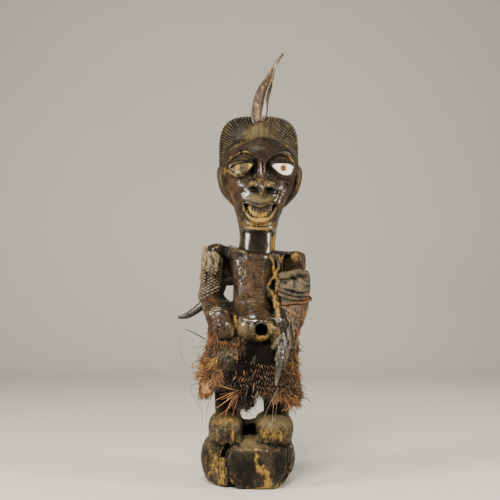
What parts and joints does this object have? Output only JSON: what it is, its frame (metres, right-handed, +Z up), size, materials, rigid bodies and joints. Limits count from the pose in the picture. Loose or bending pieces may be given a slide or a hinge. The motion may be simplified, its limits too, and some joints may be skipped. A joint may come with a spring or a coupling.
{
  "type": "songye power figure",
  "caption": "Carved standing wooden figure on a round base, with a horn crest, inlaid shell eyes, bound arm, tied hide bundle, belly cavity and knotted fibre skirt.",
  "frame": {"origin": "centre of the flat underside of the round base", "axes": "+Z up along the figure, -Y the way the face looks, +X towards the side with the hide bundle"},
  "size_m": [0.2272, 0.1702, 0.7215],
  "materials": {
    "carved_figure": "oiled and rubbed, glossy dark patina with worn ochre edges",
    "crest_horn": "polished horn, mottled red-brown and tan",
    "left_eye_shell": "worn and dirty shell",
    "right_eye_shell": "smooth shell",
    "arm_binding": "dry hide bound with cord, matt",
    "elbow_horn": "dark horn, satin",
    "hide_bundle": "dried hide, dusty, matt",
    "bundle_cord": "twisted plant cord, matt",
    "hip_horn": "silver-grey horn, satin",
    "fibre_skirt": "knotted raffia, rust-brown, matt"
  },
  "bodies": {
    "root": {"carved_figure": "carved_figure", "crest_horn": "crest_horn", "left_eye_shell": "left_eye_shell", "right_eye_shell": "right_eye_shell", "arm_binding": "arm_binding", "elbow_horn": "elbow_horn", "hide_bundle": "hide_bundle", "bundle_cord": "bundle_cord", "hip_horn": "hip_horn", "fibre_skirt": "fibre_skirt"}
  },
  "joints": []
}
